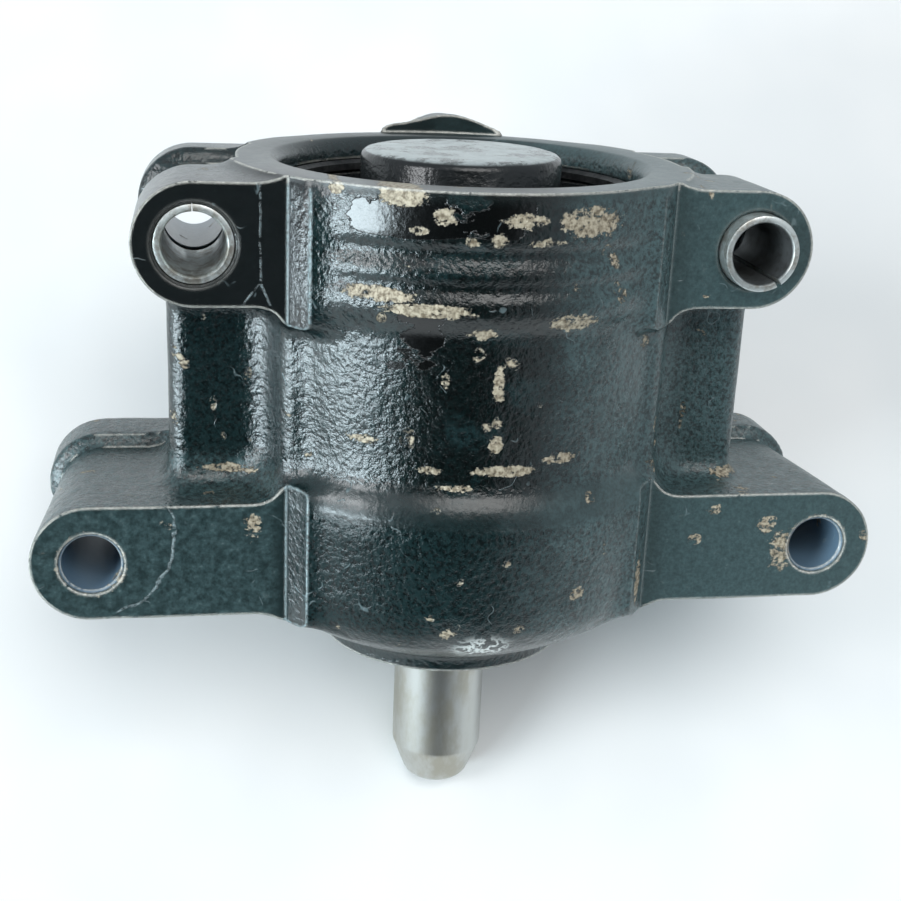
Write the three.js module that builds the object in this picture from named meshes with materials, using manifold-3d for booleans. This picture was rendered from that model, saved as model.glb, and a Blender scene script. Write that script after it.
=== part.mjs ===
// A belt-driven hydraulic vane pump: a cast-iron housing with four through-bolt ears, a plain drive shaft,
// a rotor with ten vanes turning in an oval cam ring, and a ring-retained end cover over the open bore.
// Millimetres. +Z runs along the shaft axis towards the end cover, and the mounting face of the ears
// looks along -Y. The sub-parts are drawn with z = 0 at the housing's nose, where the shaft comes out,
// and the whole pump is then raised so that the free end of the shaft lies at the origin.
import * as THREE from "three";
import { mergeVertices } from "three/addons/utils/BufferGeometryUtils.js";
import Module from "manifold-3d";

const wasm = await Module();
wasm.setup();

// ---- driving dimensions ----
const SHAFT_R = 8.5;
const SHAFT_TIP_Z = -33;
const RIM_Z = 86; // flat top of the housing, around the open bore
const RIM_R = 38.3;
const BARREL_R = 37;
const SKIRT_R = 39;
const NOSE_R = 22.6;
const EAR_FACE_Y = 24; // half the length of an ear, from its front face to its rear face
const EAR_ROOT_X = 31; // where the flat of an ear meets the barrel
const UPPER_EAR = { x: 45.3, z: 75.2, r: 9.8, hole: 5.1, flareSide: -1, facet: [62.4, 83.5] };
const LOWER_EAR = { x: 62.5, z: 22.8, r: 9.9, hole: 4.8, flareSide: 1, facet: [12, 36] };
const EAR_FLARE = 3.2;
const PILLAR_X = 50;
const PILLAR_Y = 15;
const SLEEVE = { inner: 5.0, outer: 6.25, length: 21.5, slit: 0.8 };
const COVER_BORE_R = 31;
const CAVITY_R = 28.6;
const CAVITY_FLOOR_Z = 33;
const COVER_SEAT_Z = 70; // shoulder where the cavity widens to the cover bore
const VALVE = { y: 46, z: 62, boreR: 7.2, outerR: 10.5, closedX: -26, openX: 34 };
const INLET = { x: 4, z: 80, r: 9.6, endY: 48, boreR: 6.1 };
const RUNNING_GAP = 0.1; // radial gap of a turning or sliding fit
const SEAT_GAP = 0.2; // gap between parts that only rest on each other
const RIM_CHAMFER = 1.7;
const ROUND = 48; // segments of a large round
const SMALL_ROUND = 20;
const VANES = 10;

// ---- materials ----
const finish = (color, roughness, metalness) => new THREE.MeshStandardMaterial({ color, roughness, metalness });
const blackPaint = finish(0x15191b, 0.35, 0.1);
const polishedSteel = finish(0xb9bab4, 0.22, 1);
const sleeveSteel = finish(0xa9a8a4, 0.35, 1);
const machinedIron = finish(0x77777a, 0.4, 1);
const springSteel = finish(0x5d5f63, 0.4, 1);
const bronze = finish(0xa9834f, 0.35, 1);
const nitrileRubber = finish(0x161616, 0.8, 0);
const zincPlate = finish(0xb0aea2, 0.35, 1);

// ---- turning geometry into solids and back ----

// A closed three.js geometry as a manifold solid, facing outwards.
function solid(geometry) {
  const bare = geometry.index ? geometry.toNonIndexed() : geometry.clone();
  bare.deleteAttribute("normal");
  bare.deleteAttribute("uv");
  const merged = mergeVertices(bare, 1e-4);
  const make = (triVerts) => {
    const vertProperties = merged.attributes.position.array;
    return new wasm.Manifold(new wasm.Mesh({ numProp: 3, vertProperties, triVerts }));
  };
  const made = make(new Uint32Array(merged.index.array));
  return made.volume() > 0 ? made : make(new Uint32Array(merged.index.array).reverse());
}

function geometryOf(body) {
  const mesh = body.getMesh();
  const geometry = new THREE.BufferGeometry();
  geometry.setAttribute("position", new THREE.BufferAttribute(mesh.vertProperties, 3));
  geometry.setIndex(new THREE.BufferAttribute(mesh.triVerts, 1));
  geometry.computeVertexNormals();
  return geometry;
}

const joined = (...bodies) => bodies.reduce((sum, body) => sum.add(body));
const cutBy = (body, ...tools) => tools.reduce((rest, tool) => rest.subtract(tool), body);

// A profile of [radius, height] points turned round the Z axis.
function turned(profile, segments = ROUND) {
  const points = profile.map(([r, z]) => new THREE.Vector2(r, z));
  return solid(new THREE.LatheGeometry(points, segments).rotateX(Math.PI / 2));
}

// A flat outline in the XY plane, given a height along Z from z = low.
function raised(shape, low, high) {
  const options = { depth: high - low, bevelEnabled: false, curveSegments: 9 };
  return solid(new THREE.ExtrudeGeometry(shape, options).translate(0, 0, low));
}

const alongX = (body) => body.rotate([0, 90, 0]);
const alongY = (body) => body.rotate([-90, 0, 0]);

function rod(radius, low, high, segments = SMALL_ROUND) {
  return turned([[0, low], [radius, low], [radius, high], [0, high]], segments);
}

const rodX = (radius, low, high, y, z, segments) => alongX(rod(radius, low, high, segments)).translate([0, y, z]);
const rodY = (radius, low, high, x, z, segments) => alongY(rod(radius, low, high, segments)).translate([x, 0, z]);

function box(lowX, highX, lowY, highY, lowZ, highZ) {
  const geometry = new THREE.BoxGeometry(highX - lowX, highY - lowY, highZ - lowZ);
  return solid(geometry.translate((lowX + highX) / 2, (lowY + highY) / 2, (lowZ + highZ) / 2));
}

// A closed ring of round section, lying flat round the Z axis.
function torus(radius, wire, segments = ROUND) {
  return solid(new THREE.TorusGeometry(radius, wire, 6, segments));
}

// A coil spring round the Z axis, from z = 0 to z = length over its whole wire.
function coilSpring(radius, wire, length, turns) {
  class Helix extends THREE.Curve {
    getPoint(t, target = new THREE.Vector3()) {
      const angle = t * turns * 2 * Math.PI;
      return target.set(radius * Math.cos(angle), radius * Math.sin(angle), wire + t * (length - 2 * wire));
    }
  }
  const section = new THREE.Shape().absarc(0, 0, wire, 0, 2 * Math.PI);
  const options = { extrudePath: new Helix(), steps: Math.round(turns * 12), curveSegments: 3 };
  return solid(new THREE.ExtrudeGeometry(section, options));
}

// The points of a round outline whose radius is a function of its angle.
function outlineOf(radiusAt, count) {
  return Array.from({ length: count }, (_, i) => {
    const angle = (2 * Math.PI * i) / count;
    return new THREE.Vector2(radiusAt(angle) * Math.cos(angle), radiusAt(angle) * Math.sin(angle));
  });
}

const circleHole = (x, y, r) => new THREE.Path().absarc(x, y, r, 0, 2 * Math.PI, true);

// A kidney-shaped port, centred on an angle of the plate.
function kidneyHole(angle, halfAngle, inner, outer) {
  const path = new THREE.Path();
  path.absarc(0, 0, outer, angle - halfAngle, angle + halfAngle, false);
  path.absarc(0, 0, inner, angle + halfAngle, angle - halfAngle, true);
  path.closePath();
  return path;
}

// ---- housing ----

function barrel() {
  return turned([
    [0, 0], [NOSE_R, 0], [NOSE_R, 3], [25.5, 4.2], [31, 7], [35.5, 10.2], [38, 13.5],
    [SKIRT_R, 36], [SKIRT_R - 0.6, 37.6], [BARREL_R, 39.4], [BARREL_R, 64.5], [38.2, 67], [38.2, 68.8],
    [37.2, 70.4], [38.1, 72.6], [38.1, 74.2], [37.4, 76], [RIM_R, 77.6], [RIM_R, RIM_Z - 0.5],
    [RIM_R - 0.5, RIM_Z], [0, RIM_Z],
  ]);
}

// The outline of an ear as it is seen from the front: a round end on an arm that reaches into the barrel.
// On the side that faces the other ear, the arm flares out to meet the barrel.
function earOutline(ear, side) {
  const { x, z, r, flareSide } = ear;
  const plain = z - flareSide * r;
  const flared = z + flareSide * r;
  const wide = flared + flareSide * EAR_FLARE;
  const quarter = (Math.PI / 2) * flareSide;
  const outline = new THREE.Shape();
  outline.moveTo(side * 20, plain);
  outline.lineTo(side * x, plain);
  outline.absarc(side * x, z, r, -quarter, quarter, side * flareSide < 0);
  outline.lineTo(side * (EAR_ROOT_X + 6), flared);
  outline.quadraticCurveTo(side * (EAR_ROOT_X + 1), flared, side * EAR_ROOT_X, wide);
  outline.lineTo(side * 20, wide);
  outline.closePath();
  return outline;
}

// One length of an ear between two depths. Its rear end can be narrower than its front end.
function earLength(ear, side, front, rear, narrowFront, narrowRear) {
  const geometry = new THREE.ExtrudeGeometry(earOutline(ear, side), {
    depth: rear - front,
    bevelEnabled: false,
    curveSegments: 9,
  });
  const points = geometry.attributes.position;
  for (let i = 0; i < points.count; i++) {
    const narrow = points.getZ(i) > (rear - front) / 2 ? narrowRear : narrowFront;
    const share = 1 - narrow / ear.r;
    const beyond = side * points.getX(i) - ear.x;
    const x = beyond > 0 ? side * (ear.x + beyond * share) : points.getX(i);
    points.setXYZ(i, x, -(ear.z + (points.getY(i) - ear.z) * share), points.getZ(i));
  }
  return solid(geometry.rotateX(-Math.PI / 2).translate(0, front, 0));
}

// The step between the milled flat of an ear and the rough barrel, seen from above.
function rootFacet(ear, side) {
  const outline = new THREE.Shape();
  const corners = [[20, -20], [EAR_ROOT_X, -20], [EAR_ROOT_X, -EAR_FACE_Y], [28, -27.2], [21, -31]];
  outline.setFromPoints(corners.map(([x, y]) => new THREE.Vector2(side * x, y)));
  return raised(outline, ...ear.facet);
}

// The flank of the barrel between the two ears of a side, which makes a shallow pocket in front of the web.
function flank(side) {
  const outline = new THREE.Shape();
  const corners = [[20, -12], [36, -12], [32.6, -18.5], [31.4, -21.5], [29.6, -22.9], [22, -28.6]];
  outline.setFromPoints(corners.map(([x, y]) => new THREE.Vector2(side * x, y)));
  return raised(outline, LOWER_EAR.facet[1] - 4, UPPER_EAR.facet[0] + 4);
}

// An upper ear has a long front pad, a narrower waist and a short rear pad on one through-bolt hole.
function upperEar(side) {
  return joined(
    earLength(UPPER_EAR, side, -EAR_FACE_Y, -4, 0, 0),
    earLength(UPPER_EAR, side, -5, 17, 3, 3),
    earLength(UPPER_EAR, side, 16, EAR_FACE_Y, 0, 0),
    rootFacet(UPPER_EAR, side),
  );
}

// A lower ear narrows towards its rear pad.
function lowerEar(side) {
  return joined(
    earLength(LOWER_EAR, side, -EAR_FACE_Y, 15, 0, 2.1),
    earLength(LOWER_EAR, side, 14, EAR_FACE_Y, 0, 0),
    rootFacet(LOWER_EAR, side),
  );
}

// The web that joins the two ears of a side, with rounded outer corners.
function pillar(side) {
  const outline = new THREE.Shape();
  const corner = 4;
  outline.moveTo(side * 20, -PILLAR_Y);
  outline.lineTo(side * (PILLAR_X - corner), -PILLAR_Y);
  outline.quadraticCurveTo(side * PILLAR_X, -PILLAR_Y, side * PILLAR_X, corner - PILLAR_Y);
  outline.lineTo(side * PILLAR_X, PILLAR_Y - corner);
  outline.quadraticCurveTo(side * PILLAR_X, PILLAR_Y, side * (PILLAR_X - corner), PILLAR_Y);
  outline.lineTo(side * 20, PILLAR_Y);
  outline.closePath();
  return raised(outline, LOWER_EAR.z, UPPER_EAR.z);
}

function cavities() {
  const mainBore = turned([
    [0, -1], [15, -1], [14.2, 0.6], [14.2, 8], [10.7, 8], [10.7, CAVITY_FLOOR_Z], [CAVITY_R, CAVITY_FLOOR_Z],
    [CAVITY_R, COVER_SEAT_Z], [COVER_BORE_R, COVER_SEAT_Z], [COVER_BORE_R, 79.7], [32, 79.7], [32, 82.3],
    [COVER_BORE_R, 82.3], [COVER_BORE_R, RIM_Z - 2], [COVER_BORE_R + RIM_CHAMFER, RIM_Z],
    [COVER_BORE_R + RIM_CHAMFER, RIM_Z + 1], [0, RIM_Z + 1],
  ]);
  const valveBore = rodX(VALVE.boreR, -22, VALVE.openX + 1, VALVE.y, VALVE.z);
  const unionSeat = rodX(8.5, 23, VALVE.openX + 1, VALVE.y, VALVE.z);
  const pressurePassage = rodY(2, 27, 44, -14, 67.5, 12);
  const inletSeat = rodY(INLET.boreR, 40, INLET.endY + 1, INLET.x, INLET.z);
  const inletThroat = rodY(3, 34.6, 41, INLET.x, INLET.z, 12);
  const inletDrop = rod(2.6, 48, INLET.z + 2.6, 12).translate([INLET.x, 34.6, 0]);
  const inletGallery = rodY(2.6, 26, 34.6, INLET.x, 49, 12);
  return [mainBore, valveBore, unionSeat, pressurePassage, inletSeat, inletThroat, inletDrop, inletGallery];
}

// A bolt hole through an ear. The upper ears are opened out from the front, to take a slip sleeve.
function earHole(shape, side) {
  return rodY(shape.hole, -EAR_FACE_Y - 1, EAR_FACE_Y + 1, side * shape.x, shape.z);
}

function sleeveSeat(side) {
  const bore = SLEEVE.outer + RUNNING_GAP;
  const mouth = bore + 0.4;
  const profile = [
    [0, -EAR_FACE_Y - 1], [mouth, -EAR_FACE_Y - 1], [mouth, -EAR_FACE_Y], [bore, -EAR_FACE_Y + 0.4], [bore, 1], [0, 1],
  ];
  return alongY(turned(profile, SMALL_ROUND)).translate([side * UPPER_EAR.x, 0, UPPER_EAR.z]);
}

function housing() {
  const body = joined(
    barrel(),
    ...[-1, 1].flatMap((side) => [upperEar(side), lowerEar(side), pillar(side), flank(side)]),
    rodX(VALVE.outerR, VALVE.closedX, VALVE.openX, VALVE.y, VALVE.z),
    box(-20, 20, 20, VALVE.y, VALVE.z - 9, VALVE.z + 9),
    rodY(INLET.r, 30, INLET.endY, INLET.x, INLET.z),
    box(-8, 6, 33, 42, 74, 87.3),
  );
  const rimFace = rod(RIM_R + 0.1, RIM_Z, RIM_Z + 5, ROUND);
  return cutBy(
    body,
    rimFace,
    ...cavities(),
    ...[-1, 1].flatMap((side) => [earHole(UPPER_EAR, side), earHole(LOWER_EAR, side), sleeveSeat(side)]),
  );
}

// ---- drive shaft, rotor and vanes ----
const CAM_Z = [39.6, 57.6];
const ROTOR_Z = [39.8, 57.4];
const splineOutline = (root) => new THREE.Shape(outlineOf((a) => root + (Math.cos(12 * a) > 0 ? 0.9 : 0), 48));

function driveShaft() {
  const tip = SHAFT_TIP_Z;
  const turnedPart = turned([
    [0, tip], [4.8, tip], [5.9, tip + 0.7], [6.8, tip + 2.4], [7.8, tip + 4.9], [SHAFT_R, tip + 7.3],
    [SHAFT_R, 38.4], [8, 38.9], [0, 38.9],
  ], 40);
  const snapGroove = cutBy(rod(9, 57.65, 58.95), rod(6, 57, 60));
  return cutBy(joined(turnedPart, raised(splineOutline(6.5), 38, 60.6)), snapGroove);
}

// A thin ring with a gap, for the groove at the shaft's splined end.
function shaftSnapRing() {
  const gap = 0.35;
  const outline = new THREE.Shape();
  outline.absarc(0, 0, 8.7, gap, 2 * Math.PI - gap, false);
  outline.absarc(0, 0, 6.15, 2 * Math.PI - gap, gap, true);
  outline.closePath();
  return raised(outline, 57.75, 58.85);
}

const ROTOR_R = 16.6;
const SLOT = { inner: 10.2, halfWidth: 1 };
const VANE = { inner: 10.6, outer: 17.3, thickness: 1.7 };
const vaneAngle = (i) => (2 * Math.PI * (i + 0.5)) / VANES;

function rotor() {
  const outline = new THREE.Shape();
  const mouth = Math.asin(SLOT.halfWidth / ROTOR_R);
  for (let i = 0; i < VANES; i++) {
    const angle = vaneAngle(i);
    const across = new THREE.Vector2(-Math.sin(angle), Math.cos(angle)).multiplyScalar(SLOT.halfWidth);
    const bottom = new THREE.Vector2(Math.cos(angle), Math.sin(angle)).multiplyScalar(SLOT.inner);
    const start = angle + mouth;
    outline.lineTo(bottom.x - across.x, bottom.y - across.y);
    outline.lineTo(bottom.x + across.x, bottom.y + across.y);
    outline.absarc(0, 0, ROTOR_R, start, start + (2 * Math.PI) / VANES - 2 * mouth, false);
  }
  const body = raised(new THREE.Shape(outline.getPoints(3).slice(1)), ...ROTOR_Z);
  return cutBy(body, raised(splineOutline(6.5 + SEAT_GAP), 30, 70));
}

function vane() {
  const { inner, outer, thickness } = VANE;
  const half = thickness / 2;
  const outline = new THREE.Shape();
  outline.moveTo(inner, -half);
  outline.lineTo(outer - 0.5, -half);
  outline.quadraticCurveTo(outer + 0.05, 0, outer - 0.5, half);
  outline.lineTo(inner, half);
  outline.closePath();
  return raised(outline, ROTOR_Z[0] + 0.1, ROTOR_Z[1] - 0.1);
}

// ---- pumping pack ----
const DOWEL = { r: 2, ringR: 22.7, z: [34, 65] };
const dowelHoles = () => [1, -1].map((side) => circleHole(0, side * DOWEL.ringR, DOWEL.r + RUNNING_GAP));

function camRing() {
  const outline = new THREE.Shape(outlineOf(() => 26, ROUND));
  outline.holes = [new THREE.Path(outlineOf((a) => 18.4 + 0.9 * Math.cos(2 * a), 72).reverse()), ...dowelHoles()];
  return raised(outline, ...CAM_Z);
}

function thrustPlate() {
  const outline = new THREE.Shape(outlineOf(() => CAVITY_R - SEAT_GAP, ROUND));
  const suctionPorts = [0.25, 0.75].map((turn) => kidneyHole(2 * Math.PI * turn + 0.75, 0.3, 13.5, 16.5));
  outline.holes = [circleHole(0, 0, 9.2), ...suctionPorts, ...dowelHoles()];
  return raised(outline, CAVITY_FLOOR_Z + SEAT_GAP, CAM_Z[0] - SEAT_GAP);
}

function pressurePlate() {
  const low = CAM_Z[1] + SEAT_GAP;
  const high = 66;
  const outline = new THREE.Shape(outlineOf(() => CAVITY_R - SEAT_GAP, ROUND));
  outline.holes = [0, Math.PI].map((angle) => kidneyHole(angle + 0.75, 0.3, 13.5, 16.5));
  const sealGroove = cutBy(rod(30, 60.6, 63.2, ROUND), rod(26.4, 60, 64, ROUND));
  const dowelPockets = [1, -1].map((side) => {
    return rod(DOWEL.r + RUNNING_GAP, low - 1, DOWEL.z[1] + SEAT_GAP).translate([0, side * DOWEL.ringR, 0]);
  });
  return cutBy(raised(outline, low, high), sealGroove, rod(10, low - 1, 61.4, SMALL_ROUND), ...dowelPockets);
}

function endCover() {
  const reach = COVER_BORE_R - RUNNING_GAP;
  const bossR = 17.2;
  const top = RIM_Z + 1.6;
  return turned([
    [0, 83], [11.5, 83], [12, 82.4], [12, 71.6], [reach - 1, 71.6], [reach, 72.6], [reach, 74.3], [28.8, 74.3],
    [28.8, 76.9], [reach, 76.9], [reach, 78.8], [reach - 0.7, 79.5], [bossR + 1.2, 79.5], [bossR, 80.7],
    [bossR, top - 1.2], [bossR - 0.5, top - 0.4], [bossR - 1.5, top - 0.1], [0, top],
  ]);
}

// The round-wire ring that holds the end cover in. Its two ends leave a gap, towards the rear.
function retainingRing() {
  const gap = 0.16;
  const path = new THREE.CatmullRomCurve3(Array.from({ length: 49 }, (_, i) => {
    const angle = Math.PI / 2 + gap + (i / 48) * 2 * (Math.PI - gap);
    return new THREE.Vector3(30.55 * Math.cos(angle), 30.55 * Math.sin(angle), 81);
  }));
  const section = new THREE.Shape().absarc(0, 0, 1.15, 0, 2 * Math.PI);
  return solid(new THREE.ExtrudeGeometry(section, { extrudePath: path, steps: 48, curveSegments: 3 }));
}

// ---- shaft support ----

function shaftBushing() {
  const inner = SHAFT_R + RUNNING_GAP;
  return turned([[inner, 9.5], [10.1, 9.5], [10.6, 10], [10.6, 32], [10.1, 32.5], [inner, 32.5], [inner, 9.5]], 40);
}

// A rubber lip seal: an outer case, a front wall and a lip that bends down onto the shaft.
function shaftSeal() {
  return turned([
    [8.7, 2.2], [9.4, 1.4], [10.4, 1.2], [10.6, 0.9], [14, 0.9], [14, 7.6], [12.6, 7.6], [12.6, 3], [10.6, 3],
    [10.2, 5.4], [8.9, 5.4], [8.7, 2.2],
  ], 40);
}

// ---- slip sleeves ----

// A rolled steel sleeve with a slit along its whole length. It is built along +Y from its front end.
function slipSleeve(slitAngle) {
  const { inner, outer, length, slit } = SLEEVE;
  const tube = turned([
    [inner, 0.3], [inner + 0.3, 0], [outer - 0.3, 0], [outer, 0.3], [outer, length - 0.3], [outer - 0.3, length],
    [inner + 0.3, length], [inner, length - 0.3], [inner, 0.3],
  ], SMALL_ROUND);
  const cut = box(0, outer + 1, -slit / 2, slit / 2, -1, length + 1).rotate([0, 0, slitAngle]);
  return alongY(cutBy(tube, cut));
}

// ---- flow control valve and ports ----

function valveSpool() {
  const land = VALVE.boreR - RUNNING_GAP;
  return turned([
    [0, 3], [4.2, 3], [4.2, 0], [land - 0.4, 0], [land, 0.4], [land, 6], [5.4, 6], [5.4, 9], [land, 9], [land, 15],
    [5.6, 15], [5.6, 19], [land, 19], [land, 21.6], [land - 0.4, 22], [0, 22],
  ], SMALL_ROUND);
}

// The hexagonal union that closes the valve bore and takes the pressure hose.
function outletUnion() {
  const hexagon = new THREE.Shape(outlineOf(() => 12.4, 6));
  const shank = turned([[0, 0], [6.9, 0], [6.9, 1.6], [8.3, 2.4], [8.3, 10.6], [0, 10.6]], SMALL_ROUND);
  const nose = rod(8.6, 19, 23.5);
  const bore = turned([[0, -1], [4, -1], [4, 13], [5.2, 14], [5.2, 22.7], [6, 24.5], [0, 24.5]], SMALL_ROUND);
  return cutBy(joined(shank, raised(hexagon, 12.6, 19.5), rod(7, 10, 13), nose), bore);
}

// The pressed-in return tube, with a raised bead that keeps a hose on.
function inletTube() {
  const bead = 6.9;
  return turned([
    [4.8, 0], [6, 0], [6, 20.5], [bead, 21.3], [bead, 22.1], [6, 22.9], [6, 25.4], [5.6, 26], [4.8, 26], [4.8, 0],
  ], SMALL_ROUND);
}

// ---- assembly ----
const pump = new THREE.Group();

function place(name, body, material, position = [0, 0, 0], rotation = [0, 0, 0]) {
  const mesh = new THREE.Mesh(geometryOf(body), material);
  mesh.name = name;
  mesh.position.set(...position);
  mesh.rotation.set(...rotation);
  return mesh;
}

pump.add(
  place("housing", housing(), blackPaint),
  place("shaft_seal", shaftSeal(), nitrileRubber),
  place("shaft_bushing", shaftBushing(), bronze),
  place("thrust_plate", thrustPlate(), machinedIron),
  place("cam_ring", camRing(), machinedIron),
  place("pressure_plate", pressurePlate(), machinedIron),
  place("pressure_plate_o_ring", torus(27.4, 0.95), nitrileRubber, [0, 0, 61.9]),
  place("pressure_spring", coilSpring(9.4, 1, 16.4, 4), springSteel, [0, 0, 66.3]),
  place("end_cover", endCover(), blackPaint),
  place("end_cover_o_ring", torus(29.85, 0.95), nitrileRubber, [0, 0, 75.6]),
  place("retaining_ring", retainingRing(), springSteel),
);

for (const [name, side] of [["dowel_pin_front", -1], ["dowel_pin_rear", 1]]) {
  pump.add(place(name, rod(DOWEL.r, ...DOWEL.z, 16), machinedIron, [0, side * DOWEL.ringR, 0]));
}

const rotatingGroup = new THREE.Group();
rotatingGroup.add(
  place("drive_shaft", driveShaft(), polishedSteel),
  place("rotor", rotor(), machinedIron),
  place("shaft_snap_ring", shaftSnapRing(), springSteel),
);
for (let i = 0; i < VANES; i++) {
  const number = String(i + 1).padStart(2, "0");
  rotatingGroup.add(place(`vane_${number}`, vane(), springSteel, [0, 0, 0], [0, 0, vaneAngle(i)]));
}
pump.add(rotatingGroup);

// The left sleeve sits just inside its ear's face, and the right one stands out of it.
const LEFT_SLEEVE_Y = -EAR_FACE_Y + 0.4;
const RIGHT_SLEEVE_Y = -EAR_FACE_Y - 3;
pump.add(
  place("slip_sleeve_left", slipSleeve(-92), sleeveSteel, [-UPPER_EAR.x, LEFT_SLEEVE_Y, UPPER_EAR.z]),
  place("slip_sleeve_right", slipSleeve(57), sleeveSteel, [UPPER_EAR.x, RIGHT_SLEEVE_Y, UPPER_EAR.z]),
);

const valveGroup = new THREE.Group();
valveGroup.position.set(0, VALVE.y, VALVE.z);
const towardsX = [0, Math.PI / 2, 0];
valveGroup.add(
  place("flow_valve_spool", valveSpool(), machinedIron, [-2, 0, 0], towardsX),
  place("flow_valve_spring", coilSpring(3.2, 0.6, 22.6, 8), springSteel, [-21.8, 0, 0], towardsX),
  place("outlet_union", outletUnion(), zincPlate, [23.2, 0, 0], towardsX),
  place("outlet_union_o_ring", torus(8.1, 0.8, SMALL_ROUND), nitrileRubber, [34.9, 0, 0], towardsX),
);
pump.add(valveGroup);

pump.add(place("inlet_tube", inletTube(), zincPlate, [INLET.x, 40.3, INLET.z], [-Math.PI / 2, 0, 0]));

pump.position.z = -SHAFT_TIP_Z;

export default pump;
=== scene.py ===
"""The looks of a worn, black-painted hydraulic vane pump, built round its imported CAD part.

The housing is made the way the real one is: a casting with soft blends between its shapes,
then machined. Lengths in the modelling code are millimetres, with z = 0 at the housing's nose.
"""

import math
from types import SimpleNamespace

import bpy
import numpy as np
from mathutils import Matrix, Vector


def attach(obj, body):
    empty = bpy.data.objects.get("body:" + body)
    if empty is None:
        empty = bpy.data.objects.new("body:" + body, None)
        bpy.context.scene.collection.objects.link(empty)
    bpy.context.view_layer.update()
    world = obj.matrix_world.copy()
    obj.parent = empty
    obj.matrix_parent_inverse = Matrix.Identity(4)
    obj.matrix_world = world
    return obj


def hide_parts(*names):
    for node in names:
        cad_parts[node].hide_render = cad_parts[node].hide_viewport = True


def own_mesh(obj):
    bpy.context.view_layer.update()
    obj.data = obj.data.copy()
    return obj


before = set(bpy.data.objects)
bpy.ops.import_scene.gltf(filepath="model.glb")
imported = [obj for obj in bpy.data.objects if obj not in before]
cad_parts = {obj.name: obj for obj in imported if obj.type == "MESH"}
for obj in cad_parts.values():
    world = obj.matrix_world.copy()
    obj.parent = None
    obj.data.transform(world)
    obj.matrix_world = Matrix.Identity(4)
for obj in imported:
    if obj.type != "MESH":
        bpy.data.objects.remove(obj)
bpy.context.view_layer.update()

MM = 0.001
NOSE_Z = 33.0  # height of the housing's nose above the free end of the shaft
RIM_Z = 86.0
GRID = 0.8  # spacing of the grid that the casting is sampled on
EAR_FACE_Y = 24.0
UPPER_EAR = {"x": 45.3, "z": 75.2}
LOWER_EAR = {"x": 62.5, "z": 22.8}
SLEEVE = {"inner": 5.0, "outer": 6.25, "length": 21.5}
SHAFT_R = 8.5
VALVE_SPRING = {"start": -21.8, "length": 22.6, "radius": 3.2, "wire": 0.6, "turns": 8, "y": 46, "z": 62}
SIDES = (-1, 1)


# ---- meshes ----


def add_object(name, vertices, faces, smooth_below=40):
    """Makes an object from millimetre vertices in the housing's frame."""
    mesh = bpy.data.meshes.new(name)
    points = (np.asarray(vertices, float) + [0, 0, NOSE_Z]) * MM
    mesh.from_pydata(points.tolist(), [], faces)
    mesh.polygons.foreach_set("use_smooth", [True] * len(mesh.polygons))
    mesh.set_sharp_from_angle(angle=math.radians(smooth_below))
    obj = bpy.data.objects.new(name, mesh)
    bpy.context.scene.collection.objects.link(obj)
    return obj


def turned(profile, segments=96, closed=False):
    """Turns a profile of (radius, height) points round Z. It ends on the axis, or is a closed ring."""
    angles = np.linspace(0, 2 * math.pi, segments, endpoint=False)
    vertices, rows = [], []
    for r, z in profile:
        if r < 1e-6:
            rows.append([len(vertices)] * segments)
            vertices.append((0, 0, z))
        else:
            rows.append(list(range(len(vertices), len(vertices) + segments)))
            vertices += [(r * math.cos(a), r * math.sin(a), z) for a in angles]
    faces = []
    for row, after in zip(rows, rows[1:] + (rows[:1] if closed else [])):
        for i in range(segments):
            j = (i + 1) % segments
            corners = dict.fromkeys([row[i], row[j], after[j], after[i]])
            if len(corners) > 2:
                faces.append(tuple(corners))
    return np.array(vertices, float), faces


def prism(outline, low, high):
    """An outline in the XY plane, counter-clockwise, given a height along Z."""
    n = len(outline)
    vertices = [(x, y, low) for x, y in outline] + [(x, y, high) for x, y in outline]
    faces = [tuple(reversed(range(n))), tuple(range(n, 2 * n))]
    faces += [(i, (i + 1) % n, n + (i + 1) % n, n + i) for i in range(n)]
    return np.array(vertices, float), faces


def block(low_x, high_x, low_y, high_y, low_z, high_z):
    return prism([(low_x, low_y), (high_x, low_y), (high_x, high_y), (low_x, high_y)], low_z, high_z)


def along_y(shape, x=0.0, z=0.0):
    """Turns a shape so that its Z axis lies along +Y, then moves it sideways."""
    vertices, faces = shape
    return vertices[:, [0, 2, 1]] * [1, 1, -1] + [x, 0, z], faces


def along_x(shape, y=0.0, z=0.0):
    vertices, faces = shape
    return vertices[:, [2, 1, 0]] * [1, 1, -1] + [0, y, z], faces


def rod(radius, low, high, segments=64):
    return turned([(0, low), (radius, low), (radius, high), (0, high)], segments)


def boolean(obj, shapes, operation="DIFFERENCE"):
    """Cuts the shapes out of the object, or joins them to it, and keeps the result as plain mesh."""
    tools = [add_object(f"tool_{i}", *shape) for i, shape in enumerate(shapes)]
    for tool in tools:
        modifier = obj.modifiers.new("cut", "BOOLEAN")
        modifier.operation = operation
        modifier.solver = "MANIFOLD"
        modifier.object = tool
    made = obj.evaluated_get(bpy.context.evaluated_depsgraph_get())
    mesh = bpy.data.meshes.new_from_object(made)
    obj.modifiers.clear()
    obj.data = mesh
    for tool in tools:
        bpy.data.objects.remove(tool)


# ---- the casting, as a distance field ----


def smooth_union(a, b, k):
    h = np.clip(0.5 + 0.5 * (b - a) / k, 0, 1)
    return b + (a - b) * h - k * h * (1 - h)


def smooth_overlap(a, b, k):
    return -smooth_union(-a, -b, k)


def ease(value, low, high):
    t = np.clip((value - low) / (high - low), 0, 1)
    return t * t * (3 - 2 * t)


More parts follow.
